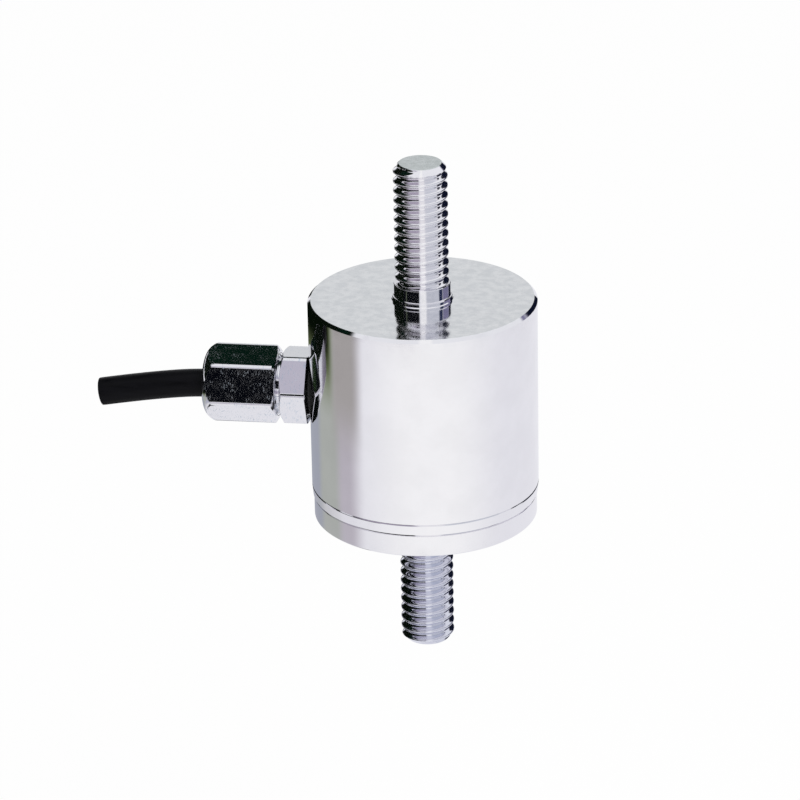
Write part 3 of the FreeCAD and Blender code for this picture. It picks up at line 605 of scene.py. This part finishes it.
def nut_column(radius):
    """The nut's points from its threaded bore over a facet and the dome to the cable's mouth."""
    dome_centre = NUT_END - NUT_DOME
    dome_base = CORNER - NUT_DOME
    start = NUT_START + chamfer_start(radius)
    lean = math.asin(min((radius - dome_base) / NUT_DOME, 1.0))
    end = dome_centre + NUT_DOME * math.cos(lean)
    column = [(NUT_BORE, NUT_START), (CHAMFER_INNER, NUT_START), (radius, start)]
    column += [(radius, start + (end - start) * k / NUT_ROWS) for k in range(1, NUT_ROWS + 1)]
    for k in range(1, DOME_ROWS + 1):
        angle = lean * (1 - k / DOME_ROWS)
        column.append((dome_base + NUT_DOME * math.sin(angle), dome_centre + NUT_DOME * math.cos(angle)))
    column += [(MOUTH_RADIUS + MOUTH_CHAMFER, NUT_END),
               (MOUTH_RADIUS + MOUTH_MIDDLE[0], NUT_END - MOUTH_MIDDLE[1]),
               (MOUTH_RADIUS, NUT_END - MOUTH_CHAMFER), (MOUTH_RADIUS, NUT_END - NUT_END_WALL),
               (NUT_BORE, NUT_END - NUT_END_WALL)]
    return column


def base_column(radius):
    """The fixed part's points: port thread, hexagon, neck, spindle, pocket and bore."""
    start = HEX_START + HEX_BREAK
    end = HEX_END - chamfer_start(radius)
    column = [(GLAND_BORE, SPINDLE_START), (PORT_RADIUS - PORT_CHAMFER, SPINDLE_START),
              (PORT_RADIUS, SPINDLE_START + PORT_CHAMFER), (PORT_RADIUS, HEX_START),
              (radius - HEX_BREAK, HEX_START), (radius, start)]
    column += [(radius, start + (end - start) * k / BASE_ROWS) for k in range(1, BASE_ROWS + 1)]
    column += [(CHAMFER_INNER, HEX_END), (NECK_RADIUS + NECK_FILLET, HEX_END),
               (NECK_RADIUS, HEX_END + NECK_FILLET), (NECK_RADIUS, HEX_END + NECK_LENGTH),
               (SPINDLE_RADIUS, NUT_START), (SPINDLE_RADIUS, SPINDLE_END - SPINDLE_CHAMFER[1]),
               (SPINDLE_RADIUS - SPINDLE_CHAMFER[0], SPINDLE_END), (POCKET_RADIUS, SPINDLE_END),
               (POCKET_RADIUS, POCKET_START), (GLAND_BORE, POCKET_START)]
    return column


# The cable
def route_points(steps=24):
    """Points along the smooth curve of the cable's route, in metres."""
    curve = bpy.data.curves.new("cable_line", "CURVE")
    curve.dimensions = "3D"
    curve.resolution_u = steps
    spline = curve.splines.new("NURBS")
    spline.points.add(len(CABLE_ROUTE) - 1)
    for point, (distance, drop) in zip(spline.points, CABLE_ROUTE):
        point.co = (-distance * MM, 0.0, (GLAND_HEIGHT - drop) * MM, 1.0)
    spline.order_u = 3
    spline.use_endpoint_u = True
    holder = bpy.data.objects.new("cable_line", curve)
    bpy.context.scene.collection.objects.link(holder)
    bpy.context.view_layer.update()
    line = bpy.data.meshes.new_from_object(holder.evaluated_get(bpy.context.evaluated_depsgraph_get()))
    points = [v.co.copy() for v in line.vertices]
    bpy.data.objects.remove(holder)
    bpy.data.curves.remove(curve)
    bpy.data.meshes.remove(line)
    return points


def tube_mesh(name, points, profile, segments=48):
    """Sweeps rings along points in a plane of constant Y. A profile entry is (point, radius)."""
    across = Vector((0, 1, 0))
    vertices, faces = [], []
    for index, radius in profile:
        before, after = points[max(index - 1, 0)], points[min(index + 1, len(points) - 1)]
        along = (after - before).normalized()
        upward = along.cross(across).normalized()
        for s in range(segments):
            a = math.tau * s / segments
            vertices.append(points[index] + (across * math.cos(a) + upward * math.sin(a)) * radius * MM)
    count = len(profile)
    for k in range(count):
        for s in range(segments):
            t = (s + 1) % segments
            k2 = (k + 1) % count
            faces.append([k * segments + s, k2 * segments + s, k2 * segments + t, k * segments + t])
    mesh = bpy.data.meshes.new(name)
    mesh.from_pydata(vertices, [], faces)
    mesh.update()
    return mesh


def make_cable():
    """The hollow jacket along the route."""
    points = route_points()
    last = len(points) - 1
    outer = [(0, CABLE_RADIUS - INNER_END_BREAK)] + [(k, CABLE_RADIUS) for k in range(1, last)]
    outer += [(last, CABLE_RADIUS - CUT_END_BREAK)]
    inner = [(k, JACKET_BORE) for k in range(last, -1, -1)]
    mesh = tube_mesh("cable_jacket_tube", points, outer + inner)
    cable = place_piece(mesh, "cable_jacket", "cable_jacket")


# The pieces: CAD nodes that stay as they are, then those with a finer mesh
KEPT = {
    "housing": "body_steel", "sensing_element": "body_steel", "stud_lock_nut": "nut_steel",
    "gland_seal": "seal_rubber", "gland_o_ring": "seal_rubber", "gland_thrust_ring": "ring_brass",
    "crimp_ferrule": "ring_brass", "cable_shield": "shield_braid", "core_red": "core_red",
    "core_black": "core_black", "core_green": "core_green", "core_white": "core_white",
    "terminal_board": "board_laminate", "gauge_wires": "jumper_wire", "solder_joints": "solder",
}
for i in range(4):
    KEPT["strain_gauge_%d" % (i + 1)] = "gauge_foil"
for i in range(3):
    KEPT["trim_resistor_%d" % (i + 1)] = "chip_ceramic"
for name, slot in KEPT.items():
    NODES[name].data.materials.clear()
    NODES[name].data.materials.append(MATERIALS[slot])

make_upper_stud()
make_lower_stud()
make_hexagon("gland_nut_domed", "gland_nut", NUT_TURN, nut_column)
make_hexagon("gland_base_hexagon", "gland_body", BASE_TURN, base_column)
make_cable()


# The camera: angles, distance and aim height in metres, and the photograph's own pixels
AZIMUTH = math.radians(8.44)
ELEVATION = math.radians(23.52)
ROLL = math.radians(-0.98)
DISTANCE = 0.477
AIM_HEIGHT = 0.01103
AIM_PIXEL = (424.44, 419.36)
FOCAL_PIXELS = 4277.0
FRAME_PIXELS = 800
SENSOR_WIDTH = 36.0


def make_camera():
    """Stands where the photograph's camera stood; the aim point falls on its own pixel."""
    back = Vector((math.sin(AZIMUTH) * math.cos(ELEVATION), -math.cos(AZIMUTH) * math.cos(ELEVATION),
                   math.sin(ELEVATION)))
    level = Vector((math.cos(AZIMUTH), math.sin(AZIMUTH), 0.0))
    upward = back.cross(level)
    right = level * math.cos(ROLL) + upward * math.sin(ROLL)
    up = upward * math.cos(ROLL) - level * math.sin(ROLL)
    base = Matrix((right, up, -back)).transposed()
    aim = Vector((AIM_PIXEL[0] - FRAME_PIXELS / 2, FRAME_PIXELS / 2 - AIM_PIXEL[1], FOCAL_PIXELS))
    swing = Vector((0, 0, 1)).rotation_difference(aim.normalized()).to_matrix()
    axes = base @ swing.transposed()
    turn = Matrix((axes.col[0], axes.col[1], -axes.col[2])).transposed()
    data = bpy.data.cameras.new("camera")
    data.sensor_width = SENSOR_WIDTH
    data.lens = FOCAL_PIXELS / FRAME_PIXELS * SENSOR_WIDTH
    data.clip_start, data.clip_end = 0.01, 20.0
    camera = bpy.data.objects.new("camera", data)
    bpy.context.scene.collection.objects.link(camera)
    camera.matrix_world = Matrix.Translation(Vector((0, 0, AIM_HEIGHT)) + back * DISTANCE) @ turn.to_4x4()
    bpy.context.scene.camera = camera


# What mirror surfaces see round the object. Azimuths are counted from the camera to the right,
# in degrees. A card is name, azimuth, half width, softness, low, high, softness, colour; low and
# high are elevations in the room, and distances from the cell in millimetres on the floor.
WHITE = (1.0, 1.0, 1.0)
DARK_GREEN = (0.0018, 0.0040, 0.0018)
DARK_BLUE = (0.004, 0.006, 0.018)
ROOM_GLOW = (0.88, 0.89, 0.92)
ROOM_CARDS = (
    ("left_lavender", -42, 36, 16, 40, 53, 5, (0.54, 0.52, 0.61)),
    ("right_grey", 48, 34, 14, 0, 50, 12, (0.60, 0.62, 0.68)),
    ("left_flag", -90, 32, 14, -6, 46, 6, DARK_GREEN),
    ("left_high", -126, 32, 6, -10, 70, 4, DARK_GREEN),
    ("back_high", -160, 62, 10, 39, 70, 8, (0.0015, 0.010, 0.006)),
    ("back_wall", 180, 19, 4, 8, 34, 8, (0.70, 0.715, 0.73)),
    ("left_low", -46, 34, 4, 3, 34, 4, (0.0015, 0.002, 0.004)),
    ("left_leaf", -62, 12, 8, 26, 40, 5, (0.012, 0.026, 0.008)),
    ("left_line", -67, 1.5, 2.5, 17, 27, 3, (0.11, 0.13, 0.09)),
    ("right_flag", 124, 36, 6, -6, 19, 4, DARK_BLUE),
    ("right_high", 144, 14, 4, 10, 43, 4, DARK_BLUE),
    ("right_violet", 110, 20, 8, 18, 27, 3, (0.20, 0.19, 0.31)),
    ("right_line", 80, 9, 6, 15, 30, 4, (0.016, 0.024, 0.070)),
    ("front_strip", 4, 11, 8, 12, 100, 4, WHITE),
)
FLOOR_GLOW = (0.86, 0.86, 0.90)
FLOOR_CARDS = (
    ("front_bright", 5, 50, 70, 100, 900, 60, WHITE),
    ("left_mist", -125, 54, 22, 150, 900, 60, (0.52, 0.49, 0.54)),
    ("left_sage", -122, 26, 14, 150, 900, 60, (0.44, 0.46, 0.43)),
    ("left_warm", -86, 17, 16, 212, 900, 30, (0.40, 0.38, 0.37)),
    ("left_blue", -152, 22, 14, 150, 900, 60, (0.38, 0.40, 0.46)),
    ("left_olive", -143, 39, 12, 224, 900, 26, (0.16, 0.20, 0.09)),
    ("left_back", -143, 36.5, 10, 236, 900, 20, DARK_GREEN),
    ("left_far", -100, 43, 20, 258, 900, 4, DARK_GREEN),
    ("left_haze", -30, 40, 30, 258, 900, 4, (0.46, 0.42, 0.51)),
    ("right_haze", 55, 40, 30, 258, 900, 4, (0.72, 0.75, 0.80)),
    ("right_far", 126, 32, 8, 258, 900, 4, DARK_BLUE),
    # painted shadow: the floor beneath the cell is painted near black where mirror surfaces see it, standing
    # in for the cell's own shadow
    ("painted_shadow_under", -108, 46, 24, 54, 122, 6, (0.001, 0.002, 0.002)),
    ("low_ring", -15, 95, 30, 142, 166, 4, (0.46, 0.47, 0.56)),
    ("low_strip", 5, 4.5, 4, 60, 168, 6, WHITE),
    ("high_strip", 4, 13, 10, 258, 900, 4, WHITE),
)
AHEAD = (math.sin(AZIMUTH), -math.cos(AZIMUTH), 0.0)
ASIDE = (math.cos(AZIMUTH), math.sin(AZIMUTH), 0.0)


def within(nodes, offset, half, soft):
    """1 where an offset is less than half, to either side, and 0 beyond, with a soft edge."""
    return nodes.spread(nodes.math("ABSOLUTE", offset), half + soft / 2, half - soft / 2)


def paint_cards(nodes, direction, other, ground, cards):
    """Lays soft-edged cards over a ground colour, by azimuth and one other coordinate."""
    turn = nodes.math("ARCTAN2", nodes.along(direction, ASIDE), nodes.along(direction, AHEAD))
    azimuth = nodes.math("MULTIPLY", turn, 180 / math.pi)
    color = ground
    for _, centre, half, soft, low, high, other_soft, tone in cards:
        away = nodes.math("WRAP", nodes.math("SUBTRACT", azimuth, centre), 180.0, -180.0)
        off = nodes.math("SUBTRACT", other, (low + high) / 2)
        sides = within(nodes, away, half, soft)
        ends = within(nodes, off, (high - low) / 2, other_soft)
        color = nodes.blend(nodes.math("MULTIPLY", sides, ends), color, tone)
    return color


# How strongly the room lights plain surfaces
ROOM_LIGHT = 0.85


def make_world():
    """Cards for mirror surfaces, even light for plain ones, and white behind the object."""
    world = bpy.data.worlds.new("studio")
    bpy.context.scene.world = world
    world.use_nodes = True
    n = Nodes(world.node_tree)
    direction = n.node("ShaderNodeTexCoord").outputs["Generated"]
    elevation = n.math("MULTIPLY", n.math("ARCSINE", n.split(direction)[Z]), 180 / math.pi)
    cards = n.light("ShaderNodeBackground", paint_cards(n, direction, elevation, ROOM_GLOW, ROOM_CARDS))
    even = n.light("ShaderNodeBackground", WHITE, ROOM_LIGHT)
    white = n.light("ShaderNodeBackground", WHITE)
    rays = n.node("ShaderNodeLightPath").outputs
    lighting = n.choose(rays["Is Glossy Ray"], even, cards)
    output = n.node("ShaderNodeOutputWorld")
    n.tree.links.new(n.choose(rays["Is Camera Ray"], lighting, white), output.inputs["Surface"])


# The floor, in metres: its depth below the cell's lower face and half its width
FLOOR_DEPTH = 0.075
FLOOR_HALF = 3.0
# How much of what the camera sees of the floor is its own glow, and how bright its paper is
FLOOR_SHARE = 0.94
FLOOR_PAPER = (0.86, 0.86, 0.86)


def make_floor():
    """A wide white floor well below the cell, which hangs by its studs."""
    half, level = FLOOR_HALF, -FLOOR_DEPTH
    mesh = bpy.data.meshes.new("floor")
    mesh.from_pydata([(-half, -half, level), (half, -half, level), (half, half, level), (-half, half, level)],
                     [], [(0, 1, 2, 3)])
    r = Recipe("floor_paper")
    place = r.stretch(r.place(), (1.0, 1.0, 0.0))
    distance = r.node("ShaderNodeVectorMath", {0: place}, operation="LENGTH").outputs["Value"]
    cards = r.light("ShaderNodeEmission", paint_cards(r, place, distance, FLOOR_GLOW, FLOOR_CARDS))
    glow = r.light("ShaderNodeEmission", WHITE)
    paper = r.node("ShaderNodeBsdfDiffuse", {"Color": with_alpha(FLOOR_PAPER)}).outputs[0]
    rays = r.node("ShaderNodeLightPath").outputs
    seen = r.choose(r.math("MULTIPLY", rays["Is Camera Ray"], FLOOR_SHARE), paper, glow)
    r.tree.links.new(r.choose(rays["Is Glossy Ray"], seen, cards), r.output.inputs["Surface"])
    mesh.materials.append(r.material)
    floor = bpy.data.objects.new("floor", mesh)
    bpy.context.scene.collection.objects.link(floor)


# The lamp, in metres and watts
LAMP_PLACE = (0.25, -0.35, 0.5)
LAMP_AIM = (0, 0, 0.01)
LAMP_SIDE = 0.3
LAMP_POWER = 1.6
LAMP_COLOR = (1.0, 0.99, 0.97)


def make_lamp():
    """A soft lamp in front, on the right and above; mirror surfaces don't see it."""
    data = bpy.data.lights.new("key", "AREA")
    data.shape = "RECTANGLE"
    data.size, data.size_y = LAMP_SIDE, LAMP_SIDE
    data.energy = LAMP_POWER
    data.color = LAMP_COLOR
    lamp = bpy.data.objects.new("key", data)
    bpy.context.scene.collection.objects.link(lamp)
    lamp.location = LAMP_PLACE
    lamp.rotation_euler = (Vector(LAMP_AIM) - Vector(LAMP_PLACE)).to_track_quat("-Z", "Y").to_euler()
    lamp.visible_glossy = False


make_camera()
make_world()
make_floor()
make_lamp()

bpy.context.scene.view_settings.view_transform = "Standard"
